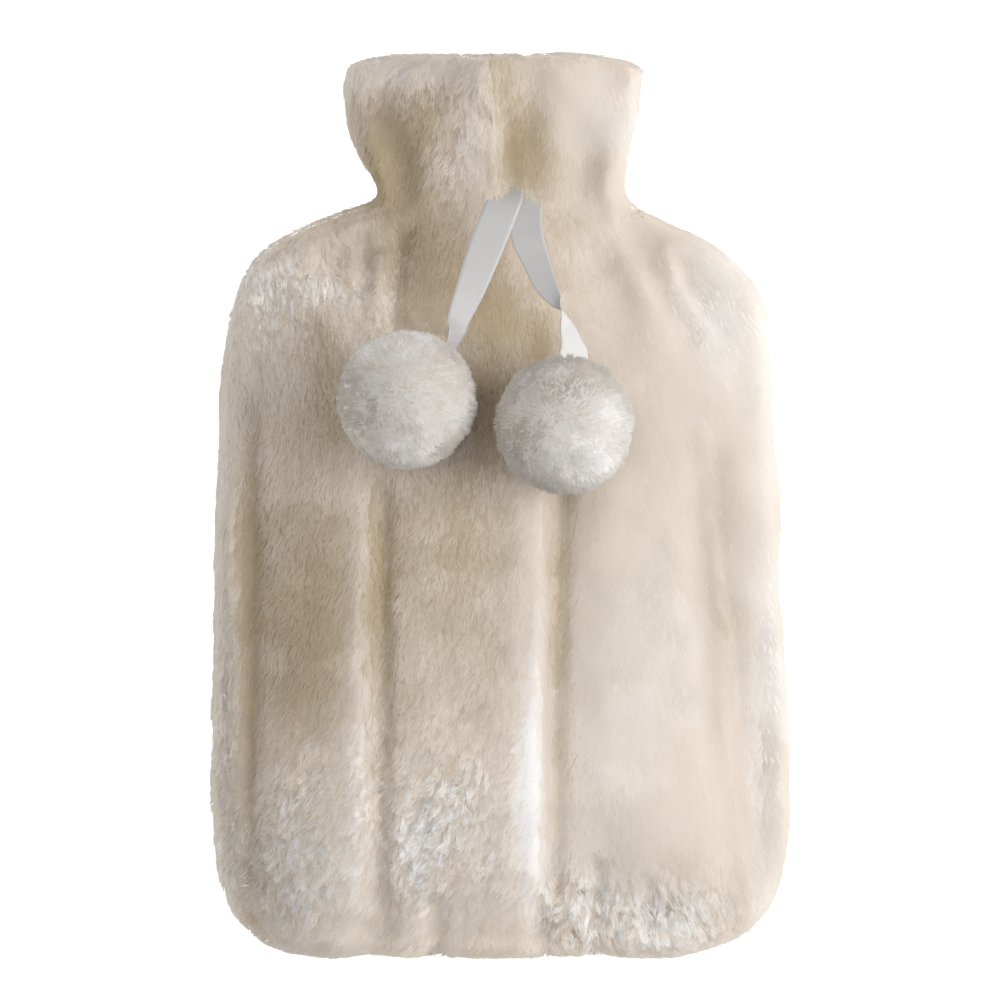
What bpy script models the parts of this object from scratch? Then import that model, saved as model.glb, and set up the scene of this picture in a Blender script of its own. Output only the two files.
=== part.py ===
"""A plush hot water bottle cover that lies on its back, filled out as if round its bottle.

X runs across the cover, +Y from its foot to its neck and +Z up. The origin is under the
middle of the cover, on the surface that it lies on. Every size is in metres.
"""

import math
from collections import namedtuple

import bmesh
import bpy
from mathutils import Vector, noise
from mathutils.bvhtree import BVHTree

# ---------------------------------------------------------------- driving dimensions
FOOT_Y = -0.1815  # the foot seam, at the tips of the pile
MOUTH_Y = 0.1815  # the hem of the collar
SEAM_Z = 0.026  # height of the side seam, where the two panels meet
SEAM_GAP = 0.0003  # parts the two panels
WALL = 0.008  # backing cloth with its pile, leaning
THIN_WALL = 0.0025  # the least of it, at the bottom of a fold
RIM_HEIGHT = 0.0115  # how far the pile stands from the seam plane along the rim
RIM_ROUND = 0.010  # how far in from the rim it reaches that height
BULGE_START = 0.011  # the filled body starts to rise here, in from the rim
BULGE_REACH = 0.074  # and has risen to its crown this much further in

HEM_ROUND = 0.0065  # the pile rolls over the hem within this length
HEM_DROP = 0.0035  # and falls by this much
MOUTH_CORNER = 0.008  # the hem's corners lie this much lower than its middle
MOUTH_BAND = 0.030  # and the rows below follow within this length

LUMP = 0.0020  # height of the tufts in the pile
LUMP_SPACING = 0.017
RIM_WAVE = 0.0012  # how far tufts push the outline in or out

ACROSS = 26  # mesh cells across a panel
FOOT_BAND = 0.022  # its rows crowd together here, where the foot turns under

RIBBON_THICK = 0.001
RIBBON_CLEAR = 0.0012  # between the ribbon and the pile under it
RIBBON_STEPS = 22
RIBBON_GATHERED = 0.0055  # its width where it is drawn together in its pompom

POMPOM_RADIUS = 0.028
POMPOM_CORE = 0.016  # the tied middle that the locks grow from
POMPOM_REST = 0.0010  # between its shortened locks and the panel
POMPOM_SINK = 0.005  # how far the ball settles into its own locks
LOCKS_ACROSS = 4  # locks along an edge of the ball's six sides: 6 x 4 x 4 in all
LOCK_PART = 0.0020  # parting between neighbouring locks at the core
LOCK_POINT = 0.0022  # how far the middle of a lock's tip stands out
LOCK_UNEVEN = 0.12  # share by which locks differ in length
LOCK_STEP = 0.0004  # locks that meet the plush are shortened in steps of this
LOCK_SHORTEST = 0.0015
LOCK_LEFT_OUT = math.radians(22)  # no lock grows this near to where the ribbon comes in

CREAM = (0.79, 0.73, 0.65, 1.0)
SATIN = (0.84, 0.83, 0.81, 1.0)
WOOL = (0.85, 0.82, 0.77, 1.0)

# ---------------------------------------------------------------- tables
Outline = namedtuple("Outline", "y left right")
OUTLINE = (
    Outline(-0.1815, -0.072, 0.068),
    Outline(-0.1780, -0.090, 0.084),
    Outline(-0.1720, -0.100, 0.097),
    Outline(-0.1600, -0.110, 0.108),
    Outline(-0.1480, -0.1135, 0.1135),
    Outline(-0.1180, -0.1160, 0.1160),
    Outline(-0.0580, -0.1155, 0.1135),
    Outline(-0.0220, -0.1148, 0.1100),
    Outline(0.0140, -0.1136, 0.1098),
    Outline(0.0380, -0.1134, 0.1080),
    Outline(0.0620, -0.1112, 0.1068),
    Outline(0.0800, -0.1076, 0.1044),
    Outline(0.0920, -0.1036, 0.0984),
    Outline(0.0980, -0.1000, 0.0924),
    Outline(0.1040, -0.0944, 0.0860),
    Outline(0.1100, -0.0844, 0.0752),
    Outline(0.1160, -0.0692, 0.0600),
    Outline(0.1210, -0.0560, 0.0510),
    Outline(0.1280, -0.0512, 0.0492),
    Outline(0.1400, -0.0572, 0.0512),
    Outline(0.1520, -0.0616, 0.0540),
    Outline(0.1640, -0.0632, 0.0556),
    Outline(0.1815, -0.0620, 0.0560),
)

# How far the cover rises above and reaches below its seam along the middle.
Filling = namedtuple("Filling", "y crown depth")
FILLING = (
    Filling(-0.1815, 0.0330, 0.0290),
    Filling(-0.1200, 0.0340, 0.0300),
    Filling(0.0000, 0.0340, 0.0300),
    Filling(0.0500, 0.0325, 0.0300),
    Filling(0.0850, 0.0300, 0.0280),
    Filling(0.1100, 0.0260, 0.0240),
    Filling(0.1260, 0.0245, 0.0220),
    Filling(0.1450, 0.0262, 0.0235),
    Filling(0.1815, 0.0275, 0.0245),
)

# Runs of mesh rows, from the foot band up to the mouth.
Rows = namedtuple("Rows", "end count")
ROW_RUNS = (
    Rows(0.0860, 22),
    Rows(0.1320, 8),
    Rows(0.1740, 5),
    Rows(0.1815, 3),
)
FOOT_ROWS = 6

# Troughs in the front, and ridges where the depth is negative.
Fold = namedtuple("Fold", "name x1 y1 x2 y2 half_width depth")
FRONT_FOLDS = (
    Fold("left flange valley", -0.0985, 0.045, -0.0990, -0.145, 0.0065, 0.0060),
    Fold("right flange valley", 0.0800, 0.020, 0.0970, -0.145, 0.0070, 0.0060),
    Fold("left channel", -0.0490, 0.012, -0.0495, -0.170, 0.0075, 0.0065),
    Fold("left channel's ridge", -0.0590, 0.008, -0.0590, -0.160, 0.0060, -0.0024),
    Fold("right channel", 0.0225, 0.008, 0.0230, -0.150, 0.0075, 0.0065),
    Fold("right channel's ridge", 0.0130, 0.000, 0.0135, -0.140, 0.0060, -0.0024),
    Fold("collar's lapping edge", -0.0060, 0.181, -0.0040, 0.126, 0.0065, -0.0030),
    Fold("hollow beside the lap", 0.0085, 0.172, 0.0095, 0.128, 0.0075, 0.0055),
    Fold("left dent of the collar", -0.0450, 0.150, -0.0420, 0.128, 0.0065, 0.0025),
    Fold("right dent of the collar", 0.0330, 0.150, 0.0300, 0.126, 0.0065, 0.0030),
    Fold("waist under the ribbon", -0.0400, 0.122, 0.0400, 0.122, 0.0070, 0.0020),
    Fold("left fold at the neck", -0.0420, 0.112, -0.0520, 0.070, 0.0060, 0.0035),
    Fold("left fold of the shoulder", -0.0600, 0.106, -0.0820, 0.062, 0.0065, 0.0030),
    Fold("right fold of the shoulder", 0.0530, 0.114, 0.0800, 0.070, 0.0065, 0.0042),
    Fold("right fold at the neck", 0.0380, 0.112, 0.0470, 0.072, 0.0060, 0.0035),
    Fold("ridge between them", 0.0460, 0.112, 0.0640, 0.072, 0.0055, -0.0022),
    Fold("middle pleat of the foot", 0.0170, -0.156, 0.0170, -0.178, 0.0050, 0.0035),
    Fold("right pleat of the foot", 0.0385, -0.140, 0.0385, -0.178, 0.0055, 0.0040),
    Fold("last pleat of the foot", 0.0570, -0.146, 0.0580, -0.168, 0.0055, 0.0030),
    Fold("left pleat of the foot", -0.0265, -0.160, -0.0265, -0.178, 0.0050, 0.0030),
)
BACK_FOLDS = (
    Fold("left flange valley", -0.0985, 0.045, -0.0990, -0.145, 0.0060, 0.0030),
    Fold("right flange valley", 0.0860, 0.020, 0.0970, -0.145, 0.0070, 0.0030),
    Fold("middle dent of the collar", 0.0000, 0.172, 0.0000, 0.128, 0.0080, 0.0025),
    Fold("left fold at the neck", -0.0400, 0.112, -0.0540, 0.080, 0.0060, 0.0025),
    Fold("right fold at the neck", 0.0400, 0.112, 0.0520, 0.080, 0.0060, 0.0025),
)

# Where the foot seam is drawn up between tufts.
Notch = namedtuple("Notch", "x half_width depth")
FOOT_NOTCHES = (
    Notch(-0.0515, 0.0060, 0.0020),
    Notch(-0.0265, 0.0050, 0.0012),
    Notch(0.0215, 0.0050, 0.0012),
    Notch(0.0390, 0.0060, 0.0018),
)

# The ribbon's middle line down the plush, how far it lifts, how it turns over (in degrees) and
# how wide it is, gathered at its ends.
Turn = namedtuple("Turn", "x y lift roll width")
LEFT_TAIL = (
    Turn(0.0065, 0.1245, 0.0000, 6.0, 0.0080),
    Turn(0.0020, 0.1190, 0.0004, 8.0, 0.0118),
    Turn(-0.0024, 0.1108, 0.0006, 12.0, 0.0120),
    Turn(-0.0074, 0.0980, 0.0006, 20.0, 0.0118),
    Turn(-0.0123, 0.0860, 0.0008, 30.0, 0.0115),
    Turn(-0.0168, 0.0744, 0.0020, 40.0, 0.0105),
    Turn(-0.0188, 0.0660, 0.0040, 50.0, 0.0080),
)
RIGHT_TAIL = (
    Turn(0.0158, 0.1245, 0.0000, -8.0, 0.0075),
    Turn(0.0140, 0.1190, 0.0006, -4.0, 0.0090),
    Turn(0.0116, 0.1108, 0.0010, 0.0, 0.0118),
    Turn(0.0138, 0.0972, 0.0010, 4.0, 0.0120),
    Turn(0.0180, 0.0880, 0.0012, 36.0, 0.0115),
    Turn(0.0228, 0.0805, 0.0020, 72.0, 0.0100),
    Turn(0.0262, 0.0725, 0.0030, 112.0, 0.0095),
    Turn(0.0280, 0.0640, 0.0040, 140.0, 0.0105),
)

# The balls, and the direction from a ball's middle in which its ribbon comes in.
Ball = namedtuple("Ball", "name x y bearing tilt seed")
LEFT_BALL = Ball("left", -0.0372, 0.0416, 49.0, -30.0, 2)
RIGHT_BALL = Ball("right", 0.0252, 0.0316, 82.0, -28.0, 5)


# ---------------------------------------------------------------- curves and heights
def read(rows, column, at):
    """One column of a table at any y, on the smooth curve through the rows."""
    ys = [row.y for row in rows]
    values = [getattr(row, column) for row in rows]
    at = min(max(at, ys[0]), ys[-1])
    k = next(i for i in range(len(ys) - 1) if at <= ys[i + 1])

    def slope(i):
        before, after = max(i - 1, 0), min(i + 1, len(ys) - 1)
        return (values[after] - values[before]) / (ys[after] - ys[before])

    span = ys[k + 1] - ys[k]
    t = (at - ys[k]) / span
    return (
        values[k] * (1 + 2 * t) * (1 - t) ** 2
        + values[k + 1] * t * t * (3 - 2 * t)
        + span * t * (1 - t) * (slope(k) * (1 - t) - slope(k + 1) * t)
    )


def quarter_round(t):
    """From 0 to 1 along a quarter of a circle, steep at first."""
    t = min(max(t, 0.0), 1.0)
    return math.sqrt(1 - (1 - t) ** 2)


def eased(t):
    """From 0 to 1, gentle at both ends."""
    t = min(max(t, 0.0), 1.0)
    return t * t * (3 - 2 * t)


def row_heights():
    """The y of each row of mesh, from the foot to the mouth."""
    ys = [
        FOOT_Y + FOOT_BAND * (1 - math.cos(math.pi / 2 * k / FOOT_ROWS))
        for k in range(FOOT_ROWS)
    ]
    start = FOOT_Y + FOOT_BAND
    for run in ROW_RUNS:
        ys += [start + (run.end - start) * k / run.count for k in range(run.count)]
        start = run.end
    return ys + [MOUTH_Y]


def tufts(x, y, seed, spacing=LUMP_SPACING):
    """Uneven tufts of pile, from about -1 to 1."""
    coarse = noise.noise(Vector((x / spacing, y / spacing, seed)))
    fine = noise.noise(Vector((2.3 * x / spacing, 2.3 * y / spacing, seed + 7)))
    return 1.3 * coarse + 0.7 * fine


def outline_x(u, y):
    """The x of a row at u, from -1 on the left edge to 1 on the right, crowded at the edges."""
    left = read(OUTLINE, "left", y) + RIM_WAVE * tufts(-1, y, 3, 0.011)
    right = read(OUTLINE, "right", y) + RIM_WAVE * tufts(1, y, 5, 0.011)
    return (left + right) / 2 + (right - left) / 2 * math.sin(math.pi / 2 * u)


def seated_y(x, y):
    """Rows near the foot are drawn up at its notches."""
    near_foot = 1 - eased((y - FOOT_Y) / FOOT_BAND)
    drawn = sum(n.depth * math.exp(-(((x - n.x) / n.half_width) ** 2)) for n in FOOT_NOTCHES)
    return y + near_foot * drawn


def rim_line():
    """The sewn outline, from the left end of the mouth round the foot to the right end."""
    ys = row_heights()
    foot = [outline_x(k / 12, FOOT_Y) for k in range(-11, 12)]
    return (
        [(outline_x(-1, y), y) for y in reversed(ys)]
        + [(x, seated_y(x, FOOT_Y)) for x in foot]
        + [(outline_x(1, y), y) for y in ys]
    )


RIM = rim_line()


def along(x, y, x1, y1, x2, y2):
    """Distance from a point to a straight line between two ends."""
    dx, dy = x2 - x1, y2 - y1
    t = ((x - x1) * dx + (y - y1) * dy) / (dx * dx + dy * dy)
    t = min(max(t, 0.0), 1.0)
    return math.hypot(x - x1 - t * dx, y - y1 - t * dy)


def rim_distance(x, y):
    """How far a point lies in from the sewn outline."""
    return min(along(x, y, *a, *b) for a, b in zip(RIM, RIM[1:]))


def folded(x, y, folds):
    """Depth of all the folds at a point."""
    return sum(
        f.depth * math.exp(-((along(x, y, f.x1, f.y1, f.x2, f.y2) / f.half_width) ** 2))
        for f in folds
    )


def filled_reach(x, y, column):
    """How far the cloth stands from the seam plane at a point, before its folds."""
    d = rim_distance(x, y)
    rise = min(max((d - BULGE_START) / BULGE_REACH, 0.0), 1.0)
    bulge = (read(FILLING, column, y) - RIM_HEIGHT) * math.sin(math.pi / 2 * rise)
    return RIM_HEIGHT * quarter_round(d / RIM_ROUND) + bulge


def hem_drop(y):
    """How far the pile has rolled over the hem."""
    return HEM_DROP * (1 - quarter_round((MOUTH_Y - y) / HEM_ROUND))


def outer_reach(x, y, column, folds, seed):
    """The tips of the pile, with the folds and the tufts, which die out at the rim."""
    relief = LUMP * tufts(x, y, seed) - folded(x, y, folds)
    relief *= quarter_round(rim_distance(x, y) / RIM_ROUND)
    return filled_reach(x, y, column) + relief - hem_drop(y)


def inner_reach(x, y, column, folds, seed):
    """The back of the cloth, which only the deep folds reach."""
    filled = filled_reach(x, y, column)
    return max(min(filled - WALL, filled - folded(x, y, folds) - THIN_WALL), SEAM_GAP / 2)


# ---------------------------------------------------------------- making meshes
def finish(name, bm, colour, rough):
    """A named object with its own material, shaded smooth but for sharp edges."""
    bmesh.ops.recalc_face_normals(bm, faces=bm.faces[:])
    mesh = bpy.data.meshes.new(name)
    bm.to_mesh(mesh)
    bm.free()
    mesh.shade_smooth()
    mesh.set_sharp_from_angle(angle=math.radians(50))
    material = bpy.data.materials.new(name)
    material.use_nodes = True
    shader = material.node_tree.nodes["Principled BSDF"]
    shader.inputs["Base Color"].default_value = colour
    shader.inputs["Roughness"].default_value = rough
    shader.inputs["Metallic"].default_value = 0.0
    mesh.materials.append(material)
    obj = bpy.data.objects.new(name, mesh)
    bpy.context.scene.collection.objects.link(obj)
    return obj


def panel(name, side, column, folds, seed):
    """One cut of plush: side is 1 for the front, above the seam, and -1 for the back."""
    ys = row_heights()
    bm = bmesh.new()
    bmesh.ops.create_grid(bm, x_segments=ACROSS, y_segments=len(ys) - 1, size=1)
    outer = bm.verts[:]
    copied = bmesh.ops.duplicate(bm, geom=bm.verts[:] + bm.edges[:] + bm.faces[:])
    inner = [v for v in copied["geom"] if isinstance(v, bmesh.types.BMVert)]
    hems = [e for e in bm.edges if all(v.co.y > 0.999 for v in e.verts)]
    for verts, height in ((outer, outer_reach), (inner, inner_reach)):
        for v in verts:
            u = v.co.x
            row = round((v.co.y + 1) / 2 * (len(ys) - 1))
            y = ys[row]
            x = outline_x(u, y)
            sewn = abs(u) > 0.999 or row == 0
            stands = SEAM_GAP / 2 if sewn else height(x, y, column, folds, seed)
            corner = MOUTH_CORNER * eased((y - MOUTH_Y) / MOUTH_BAND + 1)
            y = seated_y(x, y) - corner * abs(math.sin(math.pi / 2 * u)) ** 5
            v.co = Vector((x, y, max(SEAM_Z + side * stands, 0.0)))
    bmesh.ops.bridge_loops(bm, edges=hems)
    bmesh.ops.remove_doubles(bm, verts=bm.verts[:], dist=1e-6)
    return finish(name, bm, CREAM, 0.9)


def height_finder(obj):
    """A function that gives the height of an object's top at any x and y."""
    corners = [v.co for v in obj.data.vertices]
    tree = BVHTree.FromPolygons(corners, [p.vertices[:] for p in obj.data.polygons])

    def height(x, y):
        hit = tree.ray_cast(Vector((x, y, 1.0)), Vector((0, 0, -1)))[0]
        return hit.z if hit else 0.0

    return height


def ball_middle(ball, height):
    """Where a ball's middle lies, once it has settled on the front."""
    return Vector((ball.x, ball.y, height(ball.x, ball.y) + POMPOM_RADIUS - POMPOM_SINK))


def ball_entry(ball):
    """The direction from a ball's middle to the place where its ribbon comes in."""
    bearing, tilt = math.radians(ball.bearing), math.radians(ball.tilt)
    flat = math.cos(tilt)
    return Vector((flat * math.cos(bearing), flat * math.sin(bearing), math.sin(tilt)))


def pompom(ball, height):
    """A tied core with blunt locks of yarn, which are shorter where they lie on the plush."""
    bm = bmesh.new()
    bmesh.ops.create_cube(bm, size=2)
    bmesh.ops.subdivide_edges(
        bm, edges=bm.edges[:], cuts=LOCKS_ACROSS - 1, use_grid_fill=True
    )
    for v in bm.verts:
        spread = Vector([math.tan(c * math.pi / 4) for c in v.co])
        v.co = spread.normalized() * POMPOM_CORE
    roots = bm.faces[:]
    bmesh.ops.inset_individual(bm, faces=roots, thickness=LOCK_PART / 2)
    middle, entry = ball_middle(ball, height), ball_entry(ball)
    grown = [f for f in roots if f.calc_center_median().angle(entry) > LOCK_LEFT_OUT]
    tips = bmesh.ops.extrude_discrete_faces(bm, faces=grown)["faces"]
    for k, tip in enumerate(tips):
        uneven = noise.noise(Vector((1.7 * k, 0.3, ball.seed)))
        length = POMPOM_RADIUS * (1 + LOCK_UNEVEN * uneven)
        for v in tip.verts:
            way = v.co.normalized()
            reached = length
            while buried(middle + way * reached, height) and reached > POMPOM_CORE:
                reached -= LOCK_STEP
            v.co = way * max(reached, POMPOM_CORE + LOCK_SHORTEST)
    blunt = [t for t in tips if not any(near_plush(middle + v.co, height) for v in t.verts)]
    bmesh.ops.poke(bm, faces=blunt, offset=LOCK_POINT)
    bmesh.ops.translate(bm, verts=bm.verts[:], vec=middle)
    return finish(f"pompom_{ball.name}", bm, WOOL, 0.95)


def buried(point, height):
    """Whether a lock's tip would reach into the front."""
    return point.z < height(point.x, point.y) + POMPOM_REST


def near_plush(point, height):
    """Whether a lock's tip lies so low that its tip stays flat."""
    return point.z < height(point.x, point.y) + POMPOM_REST + 2 * LOCK_POINT


def through(points, t):
    """A place on the smooth curve through a list of vectors, for t from 0 to 1."""
    at = t * (len(points) - 1)
    k = min(int(at), len(points) - 2)
    f = at - k
    a, b = points[max(k - 1, 0)], points[k]
    c, d = points[k + 1], points[min(k + 2, len(points) - 1)]
    return 0.5 * (
        2 * b + (c - a) * f + (2 * a - 5 * b + 4 * c - d) * f * f
        + (3 * b - a - 3 * c + d) * f * f * f
    )


def ribbon(name, turns, ball, height):
    """A free end of the ribbon: down the plush, turning over, and in to the core of its ball."""
    places, shapes = [], []
    for k, turn in enumerate(turns):
        ahead = turns[min(k + 1, len(turns) - 1)]
        behind = turns[max(k - 1, 0)]
        way = Vector((ahead.x - behind.x, ahead.y - behind.y, 0)).normalized()
        level = Vector((way.y, -way.x, 0))
        roll = math.radians(turn.roll)
        lows = []
        for part in (-1, -0.5, 0, 0.5, 1):
            out = part * turn.width / 2
            spot = Vector((turn.x, turn.y, 0)) + level * out * math.cos(roll)
            lows.append(height(spot.x, spot.y) - out * math.sin(roll))
        z = max(lows) + RIBBON_CLEAR + RIBBON_THICK / 2 + turn.lift
        places.append(Vector((turn.x, turn.y, z)))
        shapes.append(Vector((turn.roll, turn.width)))
    middle, entry = ball_middle(ball, height), ball_entry(ball)
    last = turns[-1]
    for distance in (POMPOM_RADIUS, POMPOM_CORE + RIBBON_THICK):
        places.append(middle + entry * distance)
        shapes.append(Vector((last.roll, RIBBON_GATHERED)))
    bm = bmesh.new()
    bmesh.ops.create_grid(bm, x_segments=2, y_segments=RIBBON_STEPS, size=1)
    for v in bm.verts:
        t = (v.co.y + 1) / 2
        roll, width = through(shapes, t)
        way = (through(places, min(t + 0.01, 1)) - through(places, max(t - 0.01, 0))).normalized()
        level = way.cross(Vector((0, 0, 1))).normalized()
        up = level.cross(way)
        across = level * math.cos(math.radians(roll)) + up * math.sin(math.radians(roll))
        v.co = through(places, t) + across * v.co.x * width / 2
    obj = finish(name, bm, SATIN, 0.45)
    wall = obj.modifiers.new("cloth", "SOLIDIFY")
    wall.thickness = RIBBON_THICK
    wall.offset = 0
    return obj


def main():
    for obj in list(bpy.data.objects):
        bpy.data.objects.remove(obj)
    front = panel("front_panel", 1, "crown", FRONT_FOLDS, 11)
    panel("back_panel", -1, "depth", BACK_FOLDS, 29)
    height = height_finder(front)
    for ball, turns in ((LEFT_BALL, LEFT_TAIL), (RIGHT_BALL, RIGHT_TAIL)):
        pompom(ball, height)
        ribbon(f"ribbon_tail_{ball.name}", turns, ball, height)


main()
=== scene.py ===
# %% [markdown]
# # A plush hot water bottle cover
#
# The real cover is two cuts of cream plush, sewn together round the edge and left open at the
# collar. A satin ribbon is drawn round its waist, and a pompom is sewn to each end of the ribbon.
#
# The solids that carry the cover's size come first. Everything after them is dressing: knitted
# backing cloth, a deep pile on it, the ribbon's weave and the pompoms' wool. Each of these pieces
# takes the place of the solid that it stands for.

# %% Load the solids
import math
from collections import namedtuple

import bmesh
import bpy
import numpy as np
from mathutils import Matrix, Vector, noise
from mathutils.bvhtree import BVHTree
from mathutils.kdtree import KDTree


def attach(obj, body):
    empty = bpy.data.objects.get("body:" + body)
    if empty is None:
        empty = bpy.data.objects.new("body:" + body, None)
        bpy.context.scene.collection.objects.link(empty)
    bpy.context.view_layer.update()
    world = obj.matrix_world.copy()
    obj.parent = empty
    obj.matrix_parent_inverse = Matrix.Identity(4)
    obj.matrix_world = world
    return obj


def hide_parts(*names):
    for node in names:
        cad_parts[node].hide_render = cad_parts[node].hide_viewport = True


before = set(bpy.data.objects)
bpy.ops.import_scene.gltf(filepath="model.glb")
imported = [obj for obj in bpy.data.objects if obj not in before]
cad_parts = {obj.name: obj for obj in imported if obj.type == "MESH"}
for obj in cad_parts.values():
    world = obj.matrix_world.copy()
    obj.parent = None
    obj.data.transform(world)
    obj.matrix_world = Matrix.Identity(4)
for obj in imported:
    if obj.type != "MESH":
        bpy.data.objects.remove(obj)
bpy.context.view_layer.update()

# %% [markdown]
# ## The camera
#
# A product laid on a table is often photographed from straight above with a long lens, so that its
# edges don't lean outwards. A camera object looks down its own -Z axis when it isn't turned, so
# only its height has to be worked out. The height follows from how much of the cover one pixel
# shows at the level of the side seam.

# %% Put the camera straight above
PIXELS = 1001
PIXEL = 0.0004  # metres across one pixel at the side seam
LENS = 400.0
SENSOR = 36.0
SEAM_Z = 0.026
AIM = Vector((-0.0002, 0.0018, SEAM_Z))

camera_data = bpy.data.cameras.new("camera")
camera_data.lens = LENS
camera_data.sensor_width = SENSOR
camera = bpy.data.objects.new("camera", camera_data)
camera.location = AIM + Vector((0, 0, PIXELS * PIXEL * LENS / SENSOR))
bpy.context.scene.collection.objects.link(camera)
bpy.context.scene.camera = camera
print("camera height:", round(camera.location.z, 4))

# %% [markdown]
# ## The floor and the light
#
# The floor is one pale sheet that gives off a little light of its own, as a backlit table does.
# That keeps it near white without bleaching the cover. One large soft lamp stands to the right,
# which is the side that the cover's folds are lit from. A weaker one hangs nearly overhead and
# reaches down between the pompoms. The world is a plain grey that lights the shadows.

# %% Lay the floor and set the lamps
FLOOR_SIZE = 3.0
FLOOR_DROP = 0.0004  # keeps the floor clear of the pile that lies on it


def link(name, mesh):
    """A new object of that mesh in the scene."""
    obj = bpy.data.objects.new(name, mesh)
    bpy.context.scene.collection.objects.link(obj)
    return obj


def set_inputs(node, values):
    """Sets a node's sockets to plain values, given by their names."""
    for label, value in values.items():
        node.inputs[label].default_value = value


def new_material(name, values):
    """A node material with its tree and its Principled shader, which gets those values."""
    material = bpy.data.materials.new(name)
    material.use_nodes = True
    shader = material.node_tree.nodes["Principled BSDF"]
    set_inputs(shader, values)
    return material, material.node_tree, shader


def soft_lamp(name, place, size, power, tint):
    """A square lamp that faces the cover."""
    data = bpy.data.lights.new(name, "AREA")
    data.size = size
    data.energy = power
    data.color = tint
    lamp = bpy.data.objects.new(name, data)
    lamp.location = AIM + Vector(place)
    lamp.rotation_euler = Vector(place).to_track_quat("Z", "Y").to_euler()
    bpy.context.scene.collection.objects.link(lamp)


FLOOR_LOOK = {
    "Base Color": (0.90, 0.90, 0.90, 1),
    "Roughness": 0.7,
    "Emission Color": (1, 1, 1, 1),
    "Emission Strength": 0.66,
}
floor_material, _, _ = new_material("pale_floor", FLOOR_LOOK)

bm = bmesh.new()
bmesh.ops.create_grid(bm, x_segments=1, y_segments=1, size=FLOOR_SIZE / 2)
bmesh.ops.translate(bm, verts=bm.verts[:], vec=(0, 0, -FLOOR_DROP))
floor_mesh = bpy.data.meshes.new("floor")
bm.to_mesh(floor_mesh)
bm.free()
floor_mesh.materials.append(floor_material)
link("floor", floor_mesh)

soft_lamp("key", (1.32, 0.10, 1.05), 1.1, 16.7, (0.975, 0.98, 1.0))
soft_lamp("fill", (-0.55, 0.25, 1.65), 1.4, 7.8, (0.97, 0.98, 1.0))

world = bpy.data.worlds.new("studio")
world.use_nodes = True
set_inputs(world.node_tree.nodes["Background"], {"Color": (0.98, 0.98, 0.99, 1), "Strength": 0.375})
bpy.context.scene.world = world
bpy.context.scene.view_settings.view_transform = "Standard"
print("lamps:", [light.name for light in bpy.data.lights])

# %% [markdown]
# ## Creases
#
# The solids carry the cover's filled shape and its broad folds. The plush has narrower ones: the
# two rolls down the body with a channel beside each, the flanges inside the side seams, the lap
# of the collar, and the folds at the neck and the foot. Each `Crease` row is one soft trough, or
# a ridge where its depth is negative, along a straight line. Where two cross, only the deeper one
# counts. A `Nudge` row draws the cover's edge a millimetre or two to one side. These tables, and
# those of the nap, the patches and the ribbon further down, give lengths in millimetres, which are
# easier to read.

# %% List the creases
Crease = namedtuple("Crease", "x1 y1 x2 y2 half_width depth")


def in_metres(kind, lengths, rows):
    """The rows as tuples of that kind, with the columns named in lengths taken as millimetres."""
    made = [kind(*row) for row in rows]
    return [row._replace(**{name: getattr(row, name) / 1000 for name in lengths}) for row in made]


FRONT_CREASES = in_metres(Crease, Crease._fields, (
    # the right roll and its channel
    (15, 6, 13, -152, 5, -2.4),
    (11, 0, 9, -152, 8, -1),
    (23.6, 8, 21.4, -154, 3.6, 4),
    # the left roll and its channel
    (-56, 2, -57, -158, 5.5, -2),
    (-47, 6, -48, -158, 3.6, 3.4),
    # the flanges
    (-99, 60, -99.8, -90, 2.4, 1),
    (-99.8, -90, -101, -150, 2, 1.6),
    (80, 30, 88, -70, 4.4, -1.2),
    (88, -70, 98.5, -152, 4.2, -1.6),
    (85, 0, 95.6, -80, 2.6, 0.7),
    (95.6, -80, 103, -136, 2.6, 0.9),
    (103, -136, 101.4, -156, 2.6, 0.7),
    # the lap of the collar, the hollow beside it and a dimple
    (-7, 166, -6, 129, 11, -1.6),
    (-3.6, 160, -2.8, 131, 3.4, -2.4),
    (3.4, 156, 4, 129, 3.6, 3.8),
    (37, 139, 38, 132, 7, 1.4),
    (-40, 150, -38, 128, 7, 1.2),
    # the left of the neck
    (-40, 108, -42, 94, 3.4, 2.4),
    (-42, 98, -44, 68, 3.2, 2.2),
    (-49, 100, -51, 70, 3.6, -1.8),
    (-55, 106, -56, 90, 3.4, 1.8),
    # the right shoulder
    (49.2, 112, 55.6, 103, 4, 1.8),
    (55.6, 103, 65.2, 81, 4, 2),
    (65.2, 81, 74, 70, 4.4, 1.4),
    (65.2, 104, 68, 89, 3.4, -1.4),
    (68, 89, 74.4, 81, 3.4, -1.2),
    (74.4, 81, 80.8, 68, 3.6, -0.8),
    (70.8, 99, 72.4, 89, 2.4, 0.7),
    (72.4, 89, 79.2, 79, 2.4, 1),
    (79.2, 79, 87, 70, 2.6, 0.7),
    # the pleats of the foot
    (37.6, -142, 37.6, -178, 2.6, 2.6),
    (58, -150, 57.5, -168, 2.8, 1.6),
    (16, -157, 15.5, -174, 3.4, 3),
    (-25.5, -160, -25.5, -178, 3.2, 2.2),
))
BACK_CREASES = in_metres(Crease, Crease._fields, (
    (-40, 104, -52, 70, 4, 2),
    (40, 104, 52, 70, 4, 2),
    (-30, -140, -30, -176, 3.4, 2.2),
    (28, -136, 28, -176, 3.4, 2.4),
))


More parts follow.
